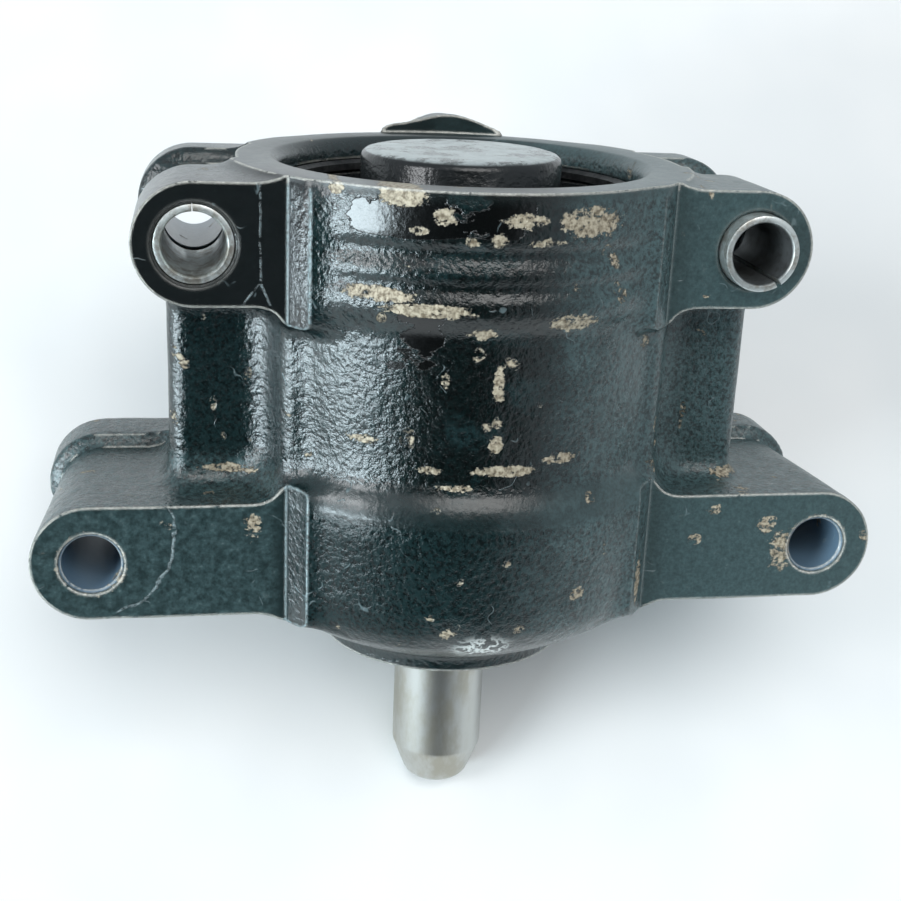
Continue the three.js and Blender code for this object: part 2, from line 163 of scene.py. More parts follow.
def lattice_noise(points, cell, seed):
    """Soft random hills about one cell across, between -1 and 1."""
    table = np.random.default_rng(seed).uniform(-1, 1, (32, 32, 32))
    scaled = points / cell
    base = np.floor(scaled).astype(int)
    t = scaled - base
    t = t * t * (3 - 2 * t)
    total = 0
    for dx in (0, 1):
        for dy in (0, 1):
            for dz in (0, 1):
                share = (
                    (t[..., 0] if dx else 1 - t[..., 0])
                    * (t[..., 1] if dy else 1 - t[..., 1])
                    * (t[..., 2] if dz else 1 - t[..., 2])
                )
                i, j, k = [(base[..., n] + d) % 32 for n, d in enumerate((dx, dy, dz))]
                total = total + share * table[i, j, k]
    return total


def rounded_box(x, y, z, centre, half, corner):
    q = [np.abs(v - c) - h + corner for v, c, h in zip((x, y, z), centre, half)]
    outside = np.sqrt(sum(np.maximum(v, 0) ** 2 for v in q))
    return outside + np.minimum(np.maximum(np.maximum(q[0], q[1]), q[2]), 0) - corner


# Height and radius of the cast barrel, and how the two beads round its front and back change that radius.
BARREL = [
    (-4, 22.7), (3, 22.9), (4.2, 25.8), (7, 31.2), (10.2, 35.7), (13.5, 37.9), (17, 38.5), (30, 39.0),
    (33.5, 38.8), (36, 38.1), (37.8, 37.0), (39.2, 36.3), (44, 36.3), (64, 36.8), (66.6, 38.3), (92, 38.3),
]
BEADS = [
    (66.5, 0), (67.5, 0.3), (69.5, 0.4), (70.5, -0.1), (71.2, -0.6), (71.7, -0.5), (72.9, 0.2), (73.6, 0.2),
    (76.7, -0.9), (77.2, -0.8), (77.9, 0),
]
HEIGHTS = np.arange(-8, 96, 0.2)


def profile(table, soft):
    """Radii at the standard heights, with the table's corners rounded over a soft length."""
    radii = np.interp(HEIGHTS, *zip(*table))
    kernel = np.exp(-0.5 * (np.arange(-15, 16) * 0.2 / soft) ** 2)
    return np.convolve(np.pad(radii, 15, mode="edge"), kernel / kernel.sum(), mode="valid")


RADII = profile(BARREL, 0.65)
BEAD_RADII = profile(BEADS, 0.55)
SLOPES = np.gradient(RADII, HEIGHTS)


def barrel(x, y, z):
    radius = np.interp(z, HEIGHTS, RADII)
    slope = np.interp(z, HEIGHTS, SLOPES)
    radius = radius + np.interp(z, HEIGHTS, BEAD_RADII) * (1 - ease(np.abs(x), 20, 29))
    side = (np.hypot(x, y) - radius) / np.sqrt(1 + slope**2)
    return smooth_overlap(side, np.maximum(-1.5 - z, z - RIM_Z - 1.2), 0.6)


def ear(x, y, z, at, radius):
    """An arm with a round end, whose radius may change along its depth."""
    beyond = np.maximum(np.abs(x) - at["x"], 0)
    outline = np.hypot(beyond, z - at["z"]) - radius
    return smooth_overlap(outline, np.abs(y + 0.6) - 25.4, 1.6)


def upper_ear(x, y, z):
    waist = 9.8 - 2.7 * ease(y, -5, -3) * (1 - ease(y, 14.5, 16.5))
    return ear(x, y, z, UPPER_EAR, waist)


def lower_ear(x, y, z):
    taper = 9.9 - 2.2 * np.clip((y + 22) / 34, 0, 1) * (1 - ease(y, 12.5, 14.5))
    return ear(x, y, z, LOWER_EAR, taper)


def casting(points):
    x, y, z = points[..., 0], points[..., 1], points[..., 2]
    side_x = np.abs(x)
    solid = barrel(x, y, z)
    for low, high in ((62.5, 83.6), (12.4, 35.5)):
        cheek = rounded_box(side_x, y, z, (24, -19, (low + high) / 2), (7.6, 8.7, (high - low) / 2), 1.5)
        solid = smooth_union(solid, cheek, 2.5)
    flank = rounded_box(side_x, y, z, (24, -12, 49), (8.2, 10.8, 24), 3)
    solid = smooth_union(solid, flank, 2.5)
    pillar = rounded_box(side_x, y, z, (36.2, 0.9, 49), (13.8, 14.1, 29), 3.5)
    solid = smooth_union(solid, pillar, 5)
    ears = np.minimum(upper_ear(x, y, z), lower_ear(x, y, z))
    solid = smooth_union(solid, ears, 4.5)
    valve = smooth_overlap(np.hypot(y - 46, z - 62) - 10.5, np.abs(x - 5) - 31, 2.5)
    bridge = rounded_box(x, y, z, (0, 33, 62), (20, 13, 9), 4)
    inlet = smooth_overlap(np.hypot(x - 4, z - 80) - 9.1, np.abs(y - 39) - 10, 1.5)
    step = rounded_box(x, y, z, (-1, 39, 80), (7.5, 4.5, 7.3), 2)
    along = np.clip((x - 5) / 10, 0, 1)
    offset = (x - 5 - 10 * along, y - 42 + 2 * along, z - 84 + 2.6 * along)
    tail = np.sqrt(sum(part**2 for part in offset)) - 4.2
    back = smooth_union(smooth_union(valve, bridge, 5), inlet, 4)
    solid = smooth_union(smooth_union(solid, back, 5), smooth_union(step, tail, 2.5), 2)
    return solid + 0.1 + 0.08 * lattice_noise(points, 6.5, 3)


def surface_net(field, low, step):
    """Turns a sampled distance field into quads, with one vertex in each cell that the surface crosses."""
    inside = field < 0
    cells = np.array(field.shape) - 1
    ids, places, quads = [], [], []
    for axis in range(3):
        a = [slice(None)] * 3
        b = [slice(None)] * 3
        a[axis], b[axis] = slice(None, -1), slice(1, None)
        crossing = np.argwhere(inside[tuple(a)] != inside[tuple(b)])
        start = field[tuple(crossing.T)]
        ahead = crossing.copy()
        ahead[:, axis] += 1
        end = field[tuple(ahead.T)]
        place = crossing.astype(float)
        place[:, axis] += start / (start - end)
        u, v = [n for n in range(3) if n != axis]
        around = []
        for du, dv in ((1, 1), (0, 1), (0, 0), (1, 0)):
            cell = crossing.copy()
            cell[:, u] -= du
            cell[:, v] -= dv
            around.append(np.ravel_multi_index(cell.T, cells))
            ids.append(around[-1])
            places.append(place)
        corners = np.stack(around, axis=1)
        flip = (start < 0) == (axis == 1)
        corners[flip] = corners[flip][:, ::-1]
        quads.append(corners)
    ids = np.concatenate(ids)
    places = np.concatenate(places)
    names, index = np.unique(ids, return_inverse=True)
    count = np.bincount(index)
    points = np.stack([np.bincount(index, places[:, n]) / count for n in range(3)], axis=1)
    faces = np.searchsorted(names, np.concatenate(quads))
    return points * step + low, faces


def settle(points, steps=3):
    """Moves points onto the true surface, along the field's slope."""
    reach = 0.05
    for _ in range(steps):
        here = casting(points)
        slope = np.stack([(casting(points + reach * axis) - here) / reach for axis in np.eye(3)], axis=1)
        length = np.maximum((slope**2).sum(axis=1), 0.3)
        move = np.clip(here / length, -0.4 * GRID, 0.4 * GRID)
        points = points - slope * move[:, None]
    return points


def cast_body():
    low, high = np.array([-76.0, -43.0, -4.0]), np.array([76.0, 60.0, 93.0])
    axes = [np.arange(a, b, GRID) for a, b in zip(low, high)]
    field = np.stack([
        casting(np.stack(np.meshgrid([x], axes[1], axes[2], indexing="ij"), axis=-1))[0] for x in axes[0]
    ])
    points, faces = surface_net(field, low, GRID)
    return add_object("housing_cast", settle(points), faces.tolist())


# ---- machining the casting ----


def end_faces():
    """What is faced off at the rim, at the tops of the ears and at the nose."""
    return [rod(38.4, RIM_Z, 96, 128), block(-60, 60, -45, 33, RIM_Z, 96), block(-45, 45, -45, 45, -8, 0)]


def main_bore():
    return turned([
        (0, -3), (15, -3), (15, 0), (14.2, 0.8), (14.2, 8), (10.7, 8), (10.7, 33), (28.6, 33), (28.6, 70),
        (31, 70), (31, 79.7), (32, 79.7), (32, 82.3), (31, 82.3), (31, RIM_Z - 1.8), (31.3, RIM_Z - 1.1),
        (32.4, RIM_Z - 0.15), (32.8, RIM_Z), (32.8, 95), (0, 95),
    ], 128)


def milled_pads():
    """What is milled off the ears, front and back, and off the ends of the bosses."""
    tools = []
    for side in SIDES:
        front = [(31, -EAR_FACE_Y), (28, -27.6), (27.4, -40), (90, -40), (90, -EAR_FACE_Y)]
        rear = [(34, EAR_FACE_Y), (90, EAR_FACE_Y), (90, 33), (34, 33)]
        for outline in (front, rear):
            points = [(side * x, y) for x, y in outline]
            area = sum(a[0] * b[1] - b[0] * a[1] for a, b in zip(points, points[1:] + points[:1]))
            tools.append(prism(points if area > 0 else points[::-1], 2, 90))
    tools.append(block(34, 45, 33, 60, 48, 76))
    tools.append(block(-12, 20, 48, 60, 73, 92))
    return tools


def bolt_holes():
    face = EAR_FACE_Y
    lower = turned([
        (0, -face - 2), (5.4, -face - 2), (5.4, -face), (4.8, -face + 0.6), (4.8, face - 0.6), (5.4, face),
        (5.4, face + 2), (0, face + 2),
    ], 64)
    upper = turned([
        (0, -face - 2), (6.8, -face - 2), (6.8, -face), (6.35, -face + 0.45), (6.35, 1), (5.1, 1),
        (5.1, face - 0.6), (5.7, face), (5.7, face + 2), (0, face + 2),
    ], 64)
    tools = []
    for side in SIDES:
        tools.append(along_y(lower, side * LOWER_EAR["x"], LOWER_EAR["z"]))
        tools.append(along_y(upper, side * UPPER_EAR["x"], UPPER_EAR["z"]))
    return tools


def oil_ways():
    """The valve's bore and the drilled passages between it, the inlet and the pumping chamber."""
    drop, faces = rod(2.6, 48, 82.6, 24)
    return [
        along_x(rod(7.2, -22, 30), 46, 62),
        along_x(rod(8.5, 23, 40), 46, 62),
        along_y(rod(2, 27, 44, 24), -14, 67.5),
        along_y(rod(6.1, 40, 52), 4, 80),
        along_y(rod(3, 34.6, 41, 24), 4, 80),
        along_y(rod(2.6, 26, 34.6, 24), 4, 49),
        (drop + [4, 34.6, 0], faces),
    ]


def housing():
    body = cast_body()
    boolean(body, end_faces() + [main_bore()] + milled_pads() + bolt_holes() + oil_ways())
    body.name = "painted_housing"
    body.data.set_sharp_from_angle(angle=math.radians(38))
    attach(body, "pump_body")
    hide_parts("housing")
    return body


# ---- the other visible pieces ----


def finished(obj, body, node, material):
    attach(obj, body)
    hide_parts(node)
    obj.data.materials.clear()
    obj.data.materials.append(material)
    return obj


def shaft_shape():
    tip = -NOSE_Z
    return turned([
        (0, tip), (4.2, tip), (4.8, tip + 0.12), (5.4, tip + 0.4), (5.9, tip + 0.85), (6.3, tip + 1.5),
        (7.3, tip + 4.0), (8.2, tip + 6.6), (8.42, tip + 7.1), (SHAFT_R, tip + 7.7), (SHAFT_R, 38),
        (7.9, 38.6), (6.9, 38.6), (6.9, 60.4), (6.4, 60.6), (0, 60.6),
    ])


def cover_shape():
    top = RIM_Z + 1.6
    return turned([
        (0, 83), (11.5, 83), (12, 82.4), (12, 71.6), (29.9, 71.6), (30.9, 72.6), (30.9, 74.3), (28.8, 74.3),
        (28.8, 76.9), (30.9, 76.9), (30.9, 78.8), (30.2, 79.5), (18.6, 79.5), (17.7, 79.9), (17.3, 80.8),
        (17.2, top - 1.5), (17.0, top - 0.9), (16.4, top - 0.4), (15.5, top - 0.15), (8, top - 0.05),
        (0, top),
    ], 128)


def sleeve_shape(x, front_y):
    inner, outer, length = SLEEVE["inner"], SLEEVE["outer"], SLEEVE["length"]
    tube = turned([
        (inner, 0.5), (inner + 0.15, 0.2), (inner + 0.35, 0), (outer - 0.3, 0), (outer - 0.08, 0.12),
        (outer, 0.4), (outer, length - 0.4), (outer - 0.3, length), (inner + 0.3, length),
        (inner, length - 0.3),
    ], 96, closed=True)
    vertices, faces = along_y(tube, x, UPPER_EAR["z"])
    return vertices + [0, front_y, 0], faces


def slip_sleeve(name, side, front_y, slit_angle, slit, material):
    x = side * UPPER_EAR["x"]
    obj = add_object(name, *sleeve_shape(x, front_y))
    half = slit / 2
    vertices, faces = block(0, 8, -half, half, -1, SLEEVE["length"] + 1)
    turn = np.array(Matrix.Rotation(math.radians(slit_angle), 3, "Z"))
    vertices, faces = along_y((vertices @ turn.T, faces), x, UPPER_EAR["z"])
    boolean(obj, [(vertices + [0, front_y, 0], faces)])
    obj.data.set_sharp_from_angle(angle=math.radians(40))
    word = "left" if side < 0 else "right"
    return finished(obj, f"sleeve_{word}", f"slip_sleeve_{word}", material)


def spring_shape():
    """The valve's coil spring: a round wire wound along +X, from the closed end of the valve bore."""
    wire, turns = VALVE_SPRING["wire"], VALVE_SPRING["turns"]
    steps, sides = turns * 36, 12
    t = np.linspace(0, 1, steps + 1)
    angle = t * turns * 2 * math.pi
    outward = np.stack([0 * t, np.cos(angle), np.sin(angle)], axis=1)
    middle = outward * VALVE_SPRING["radius"]
    middle[:, 0] = VALVE_SPRING["start"] + wire + t * (VALVE_SPRING["length"] - 2 * wire)
    along = np.array([1.0, 0, 0])
    around = np.linspace(0, 2 * math.pi, sides, endpoint=False)
    rings = [middle + wire * (math.cos(a) * outward + math.sin(a) * along) for a in around]
    vertices = np.stack(rings, axis=1).reshape(-1, 3) + [0, VALVE_SPRING["y"], VALVE_SPRING["z"]]
    faces = [tuple(range(sides)), tuple(reversed(range(steps * sides, (steps + 1) * sides)))]
    for i in range(steps):
        for j in range(sides):
            a, b = i * sides + j, i * sides + (j + 1) % sides
            faces.append((b, a, a + sides, b + sides))
    return vertices, faces


def valve_spring(material):
    """The valve's coil spring, attached to the pump body in place of the CAD spring."""
    obj = add_object("wound_spring", *spring_shape())
    finished(obj, "pump_body", "flow_valve_spring", material)
    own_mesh(obj)


# ---- materials ----


class Graph:
    """A material under construction, with short names for the nodes it uses most."""

    def __init__(self, name):
        self.material = bpy.data.materials.new(name)
        self.material.use_nodes = True
        self.tree = self.material.node_tree
        self.tree.nodes.clear()
        self.surface = self.node("ShaderNodeBsdfPrincipled")
        self.output = self.node("ShaderNodeOutputMaterial")
        self.link(self.surface.outputs[0], self.output.inputs[0])
        self.place = self.node("ShaderNodeTexCoord").outputs["Object"]
        parts = self.node("ShaderNodeSeparateXYZ")
        self.link(self.place, parts.inputs[0])
        self.x, self.y, self.z = [self.math("MULTIPLY", out, 1000.0) for out in parts.outputs]
        self.z = self.math("SUBTRACT", self.z, NOSE_Z)
        self.side_x = self.math("ABSOLUTE", self.x)

    def node(self, kind):
        return self.tree.nodes.new(kind)

    def link(self, out, socket):
        self.tree.links.new(out, socket)

    def feed(self, socket, value):
        if isinstance(value, bpy.types.NodeSocket):
            self.link(value, socket)
        elif isinstance(value, tuple) and len(value) == 3 and socket.type == "RGBA":
            socket.default_value = (*value, 1)
        else:
            socket.default_value = value

    def math(self, operation, *values):
        node = self.node("ShaderNodeMath")
        node.operation = operation
        for socket, value in zip(node.inputs, values):
            self.feed(socket, value)
        return node.outputs[0]

    def times(self, *values):
        result = values[0]
        for value in values[1:]:
            result = self.math("MULTIPLY", result, value)
        return result

    def most(self, *values):
        result = values[0]
        for value in values[1:]:
            result = self.math("MAXIMUM", result, value)
        return result

    def ramp(self, value, low, high, out_low=0.0, out_high=1.0):
        node = self.node("ShaderNodeMapRange")
        node.interpolation_type = "SMOOTHSTEP"
        for socket, given in zip(node.inputs, (value, low, high, out_low, out_high)):
            self.feed(socket, given)
        return node.outputs[0]

    def band(self, value, low, high, soft):
        """1 between low and high, falling to 0 over a soft margin."""
        return self.times(self.ramp(value, low - soft, low), self.ramp(value, high, high + soft, 1.0, 0.0))

    def noise(self, size_mm, detail=3.0, stretch=(1, 1, 1), roughness=0.55, shift=0.0):
        where = self.node("ShaderNodeMapping")
        self.link(self.place, where.inputs["Vector"])
        where.inputs["Scale"].default_value = stretch
        where.inputs["Location"].default_value = (shift, shift * 0.7, shift * 0.3)
        node = self.node("ShaderNodeTexNoise")
        self.link(where.outputs[0], node.inputs["Vector"])
        node.inputs["Scale"].default_value = 1000.0 / size_mm
        node.inputs["Detail"].default_value = detail
        node.inputs["Roughness"].default_value = roughness
        return node.outputs[0]

    def cells(self, size_mm):
        """Soft round pits, about one size across."""
        node = self.node("ShaderNodeTexVoronoi")
        node.feature = "SMOOTH_F1"
        self.link(self.place, node.inputs["Vector"])
        node.inputs["Scale"].default_value = 1000.0 / size_mm
        node.inputs["Smoothness"].default_value = 0.6
        return node.outputs["Distance"]

    def mix(self, share, a, b):
        node = self.node("ShaderNodeMix")
        node.data_type = "RGBA"
        self.feed(node.inputs[0], share)
        self.feed(node.inputs[6], a)
        self.feed(node.inputs[7], b)
        return node.outputs[2]

    def shade(self, color, factor):
        """The colour, made darker or lighter by a factor."""
        node = self.node("ShaderNodeVectorMath")
        node.operation = "SCALE"
        self.link(color, node.inputs[0])
        self.feed(node.inputs["Scale"], factor)
        return node.outputs[0]

    def blend(self, share, a, b):
        node = self.node("ShaderNodeMix")
        self.feed(node.inputs[0], share)
        self.feed(node.inputs[2], a)
        self.feed(node.inputs[3], b)
        return node.outputs[0]

    def bump(self, height, distance_mm, strength=1.0, normal=None):
        node = self.node("ShaderNodeBump")
        node.inputs["Distance"].default_value = distance_mm * MM
        self.feed(node.inputs["Strength"], strength)
        self.link(height, node.inputs["Height"])
        if normal is not None:
            self.link(normal, node.inputs["Normal"])
        return node.outputs[0]

    def bevel(self, radius_mm):
        node = self.node("ShaderNodeBevel")
        node.samples = 4
        node.inputs["Radius"].default_value = radius_mm * MM
        return node.outputs[0]

    def edge(self, rounded):
        """Near 1 on and beside the sharp edges of the mesh, given its rounded normal."""
        dot = self.node("ShaderNodeVectorMath")
        dot.operation = "DOT_PRODUCT"
        self.link(rounded, dot.inputs[0])
        self.link(self.node("ShaderNodeNewGeometry").outputs["Normal"], dot.inputs[1])
        return self.ramp(self.math("SUBTRACT", 1.0, dot.outputs["Value"]), 0.003, 0.07)

    def finish(self, color, roughness, metallic, normal, **extra):
        inputs = {"Base Color": color, "Roughness": roughness, "Metallic": metallic, "Normal": normal}
        for name, value in {**inputs, **extra}.items():
            self.feed(self.surface.inputs[name], value)
        return self.material


def distance(g, a, b, centre_a, centre_b, scale_a=1.0, scale_b=1.0):
    """Distance from a point in the plane of two coordinates, counted in the given units."""
    da = g.math("DIVIDE", g.math("SUBTRACT", a, centre_a), scale_a)
    db = g.math("DIVIDE", g.math("SUBTRACT", b, centre_b), scale_b)
    return g.math("SQRT", g.math("ADD", g.times(da, da), g.times(db, db)))


def from_hole(g, ear):
    return distance(g, g.side_x, g.z, ear["x"], ear["z"])


# Places on the front where the paint has gone: x, z, half width, half height, and how much paint is left.
WORN_SPOTS = [
    (-15, 85, 5.5, 2.6, 0.31), (-24.2, 85.2, 1.8, 1.8, 0.38), (-8.7, 82.2, 2.8, 2.2, 0.41),
    (-12.6, 80, 2.6, 1.2, 0.44), (3.4, 82, 6, 2.2, 0.42), (14, 81.4, 9, 4.0, 0.40),
    (-0.5, 79, 2.6, 2, 0.44), (-4.8, 78.6, 2, 1.4, 0.44), (7, 78.6, 7, 1.2, 0.46),
    (-18, 70, 8.5, 1.9, 0.38), (-10.5, 68, 11, 1.8, 0.36), (-2.3, 64.5, 4, 1.6, 0.43),
    (12.5, 66, 7.5, 2.4, 0.42), (0.8, 56.2, 1.7, 5.5, 0.42), (-7.5, 57, 1.4, 2.4, 0.46),
    (0.8, 50, 1.7, 2, 0.44), (0.8, 46.4, 2.0, 2.8, 0.43), (2.4, 42, 8.5, 1.7, 0.38),
    (12, 43.4, 5.5, 1.6, 0.43), (-9.5, 42, 4, 1.1, 0.45), (-5, 39.2, 5, 1.1, 0.46),
    (-19.5, 46, 4, 1.4, 0.46), (-40, 35.4, 8, 1.3, 0.39), (16, 20, 2.6, 2.2, 0.46),
    (3, 27, 1.4, 1.4, 0.47), (6, 15, 2, 1.4, 0.47), (56, 22, 4, 6.5, 0.44), (53, 27, 3, 3, 0.47),
    (43, 30, 3, 1.6, 0.47), (-36.5, 29.0, 2.6, 4, 0.45), (48, 33.4, 6, 1.6, 0.46),
    (29.4, 18, 1.1, 8, 0.40),
]


def worn_spots(g, chips):
    """Bare patches on the front, and a thin ring of them round each lower hole."""
    front = g.ramp(g.y, -10.0, -14.0)
    worn = 0.0
    for x, z, half_x, half_z, level in WORN_SPOTS:
        far = distance(g, g.x, g.z, x, z, half_x, half_z)
        share = g.ramp(far, 0.3, 1.15, level, 0.85)
        worn = g.most(worn, g.ramp(g.math("SUBTRACT", chips, share), 0.0, 0.035))
    ring = from_hole(g, LOWER_EAR)
    ring_share = g.math("ADD", g.ramp(ring, 5.4, 7.2, 0.53, 0.85), g.ramp(ring, 5.2, 5.1))
    worn = g.most(worn, g.ramp(g.math("SUBTRACT", chips, ring_share), 0.0, 0.05))
    return g.times(worn, front)


def curled_film_glints(g, large):
    """Thin curling marks along the contours of a noise, coloured as painted glints on curled edges of the
    paint film.
    """
    contour = g.math("ABSOLUTE", g.math("SUBTRACT", g.noise(9.0, 2.0, shift=0.8), 0.5))
    patches = g.ramp(g.noise(6.0, 3.0, shift=1.3), 0.57, 0.62)
    return g.times(g.ramp(contour, 0.002, 0.007, 1.0, 0.0), patches, g.ramp(large, 0.44, 0.54), 0.6)


def tuft(g):
    """A tuft of pale fibres stuck to the paint, low on the front."""
    strands = g.math("ABSOLUTE", g.math("SUBTRACT", g.noise(2.4, 3.0, shift=2.1), 0.5))
    near = g.ramp(distance(g, g.x, g.z, 0.4, 10.8, 6.5, 4.2), 0.3, 1.0, 1.0, 0.0)
    return g.times(g.ramp(strands, 0.02, 0.08, 1.0, 0.0), near, g.ramp(g.y, 0.0, -10.0))


def marks_on_ears(g, chips):
    """Thin witness marks that washers and brackets have left in the paint of the left ears."""
    sway = g.times(g.math("SUBTRACT", g.noise(4.0, 3.0, shift=0.6), 0.5), 2.2)
    radius = g.math("ADD", distance(g, g.x, g.z, -64, 28), sway)
    ring = g.math("ABSOLUTE", g.math("SUBTRACT", radius, 15.0))
    lower = g.times(g.ramp(ring, 0.08, 0.32, 1.0, 0.0), g.band(g.x, -58, -48, 1.0), g.ramp(g.z, 38.0, 36.0))
    line = g.math("ABSOLUTE", g.math("ADD", g.math("ADD", g.x, 35.2), g.times(sway, 0.25)))
    upper = g.times(g.ramp(line, 0.05, 0.28, 1.0, 0.0), g.ramp(g.z, 68.0, 70.0), 0.5)
    fork = 0.0
    for lean in (0.42, -0.75):
        leg = g.math("SUBTRACT", g.math("ADD", g.x, 35.2), g.times(g.math("SUBTRACT", 69.5, g.z), lean))
        leg = g.ramp(g.math("ABSOLUTE", leg), 0.08, 0.30, 1.0, 0.0)
        fork = g.most(fork, g.times(leg, g.band(g.z, 66.0, 69.5, 0.3), 0.8))
    return g.times(g.most(lower, upper, fork), g.ramp(chips, 0.42, 0.58), g.ramp(g.y, -23.8, -23.95))


def paint_noises(g):
    """The random patterns that the paint's colour, wear and relief share."""
    noise = SimpleNamespace()
    noise.grain = g.noise(0.65, 2.5, roughness=0.62)
    noise.pits = g.cells(1.15)
    noise.specks = g.noise(0.55, 3.0, roughness=0.7, shift=0.7)
    noise.lumps = g.noise(5.0, 0.0, shift=0.3)
    noise.dust = g.noise(1.4, 6.0, roughness=0.7, shift=1.7)
    noise.large = g.noise(8.0, 5.0, stretch=(0.7, 0.7, 1.2), roughness=0.6, shift=0.2)
    flakes = g.noise(1.7, 7.0, stretch=(0.75, 0.75, 1.25), roughness=0.8, shift=0.5)
    noise.chips = g.math("ADD", flakes, g.times(g.math("SUBTRACT", noise.grain, 0.5), 0.3))
    return noise


def paint_zones(g, noise, edge):
    """Where the housing's surface differs: each zone is a share from 0 to 1."""
    zone = SimpleNamespace()
    zone.front = g.ramp(g.y, -10.0, -20.0)
    zone.milled = g.times(g.ramp(g.y, -23.8, -23.95), g.ramp(g.side_x, 30.6, 30.9))
    lower_hole = g.ramp(from_hole(g, LOWER_EAR), 5.0, 5.25, 1.0, 0.0)
    upper_hole = g.ramp(from_hole(g, UPPER_EAR), 5.25, 5.4, 1.0, 0.0)
    zone.hole = g.most(lower_hole, upper_hole)
    turned_top = g.ramp(g.z, RIM_Z - 2.5, RIM_Z - 0.3)
    shoulder = g.times(g.band(g.z, 33.5, 37.5, 1.5), g.ramp(g.side_x, 31.0, 27.0), 0.8)
    zone.smooth = g.most(zone.milled, zone.hole, turned_top, shoulder)
    zone.rough_cast = g.math("SUBTRACT", 1.0, zone.smooth)
    zone.strips = g.times(g.band(g.side_x, 27.0, 31.3, 0.3), g.ramp(g.z, 85.0, 84.5))
    zone.upper_left = g.times(g.ramp(g.x, -27.0, -29.0), g.ramp(g.z, 60.0, 64.0), zone.front)
    zone.edge = edge

    upper_film = g.times(g.band(g.x, -20, 1, 7), g.band(g.z, 79.5, 90, 1.5))
    lower_film = g.times(g.band(g.x, -14, -11, 7), g.band(g.z, 62, 64, 10))
    film = g.times(g.most(upper_film, lower_film), zone.front)
    film = g.ramp(g.math("ADD", g.times(film, 0.4), noise.large), 0.82, 0.84)
    zone.film = g.times(film, zone.rough_cast)

    # Paler towards the right side: dust, and a painted teal sheen that stands in for the reflection on the
    # right of the barrel. The lower left gets dust only.
    dusty = g.ramp(g.math("ADD", g.x, g.times(g.math("SUBTRACT", noise.large, 0.5), 40.0)), 2.0, 26.0)
    lower_left = g.times(g.ramp(g.x, -31.0, -34.0), g.ramp(g.z, 39.0, 36.0))
    lower_left = g.times(lower_left, g.ramp(noise.dust, 0.3, 0.7, 0.25, 0.9))
    zone.dusty = g.times(g.most(dusty, lower_left), g.ramp(noise.dust, 0.25, 0.65, 0.6, 1.1))
    return zone


def worn_edges(g, noise, zone):
    """Chipped paint on the sharp edges. The strips and the mouths of the sleeves are nearly spared."""
    wear = g.math("ADD", g.times(noise.chips, 1.1), g.times(noise.large, 0.9))
    wear = g.ramp(g.math("ADD", g.times(zone.edge, 0.6), wear), 1.36, 1.44)
    sleeve_mouths = g.ramp(from_hole(g, UPPER_EAR), 7.4, 7.8, 1.0, 0.0)
    spared = g.math("SUBTRACT", 1.0, g.times(g.most(zone.strips, sleeve_mouths), 0.85))
    return g.times(wear, g.ramp(zone.edge, 0.04, 0.15), spared)


def satin_color(g, noise, zone):
    """The paint's colour: near black, paler where dusty and, towards the right, with a painted sheen,
    darker down the middle as a painted dark reflection, with a painted sheen on the strips and painted
    shade in its pits.
    """
    satin = g.mix(zone.dusty, (0.006, 0.015, 0.016), (0.040, 0.074, 0.078))
    # Painted dark reflection: the middle of the front is darkened where the glossy paint faces the dark
    # room.
    middle = g.times(g.band(g.x, -9, 5, 9), g.band(g.z, 40, 90, 6), zone.front)
    satin = g.mix(g.times(middle, g.ramp(noise.large, 0.34, 0.46)), satin, (0.002, 0.005, 0.005))
    satin = g.mix(g.times(g.ramp(noise.dust, 0.60, 0.72), zone.milled, 0.5), satin, (0.10, 0.13, 0.13))
    satin = g.mix(g.times(zone.upper_left, 0.8), satin, (0.0025, 0.003, 0.0035))
    # Painted highlight: a pale blue-grey sheen on the strips, strongest on the left, where the window
    # lights them.
    painted_strip_sheen = g.times(zone.strips, g.ramp(zone.edge, 0.02, 0.25), g.ramp(noise.specks, 0.3, 0.6, 0.3, 1.0))
    satin = g.mix(g.times(painted_strip_sheen, g.ramp(g.x, 10.0, -10.0, 0.25, 0.9)), satin, (0.24, 0.34, 0.37))
    # Random specks of tone, and painted shade in the pits, which come out darker.
    specks_and_pit_shade = g.math("ADD", noise.specks, g.times(g.math("SUBTRACT", noise.pits, 0.4), 0.25))
    specks_and_pit_shade = g.ramp(specks_and_pit_shade, 0.36, 0.64, 0.35, 1.45)
    return g.shade(satin, g.blend(zone.smooth, specks_and_pit_shade, g.ramp(noise.specks, 0.3, 0.7, 0.8, 1.2)))


def paint_color(g, noise, zone, marks, worn):
    paint = g.mix(zone.film, satin_color(g, noise, zone), (0.0015, 0.002, 0.002))
    paint = g.mix(g.times(zone.hole, 0.9), paint, (0.13, 0.21, 0.29))
    # Witness marks, and the painted glints of curled film, in pale blue-grey.
    paint = g.mix(g.times(marks, 0.8), paint, (0.24, 0.32, 0.34))
    paint = g.mix(g.times(tuft(g), 0.9), paint, (0.62, 0.66, 0.64))
    bare = g.mix(g.ramp(noise.grain, 0.3, 0.7), (0.13, 0.10, 0.06), (0.50, 0.44, 0.33))
    silver = g.mix(g.ramp(noise.grain, 0.3, 0.7), (0.50, 0.50, 0.46), (0.90, 0.89, 0.82))
    return g.mix(worn, paint, g.mix(zone.edge, bare, silver))


def paint_roughness(g, noise, zone, worn):
    glossy = g.ramp(noise.chips, 0.3, 0.7, 0.12, 0.26)
    dull = g.ramp(noise.chips, 0.3, 0.7, 0.26, 0.44)
    roughness = g.blend(zone.film, g.blend(zone.dusty, glossy, dull), 0.2)
    roughness = g.blend(g.times(zone.smooth, 0.7), roughness, 0.34)
    return g.blend(worn, roughness, 0.55)


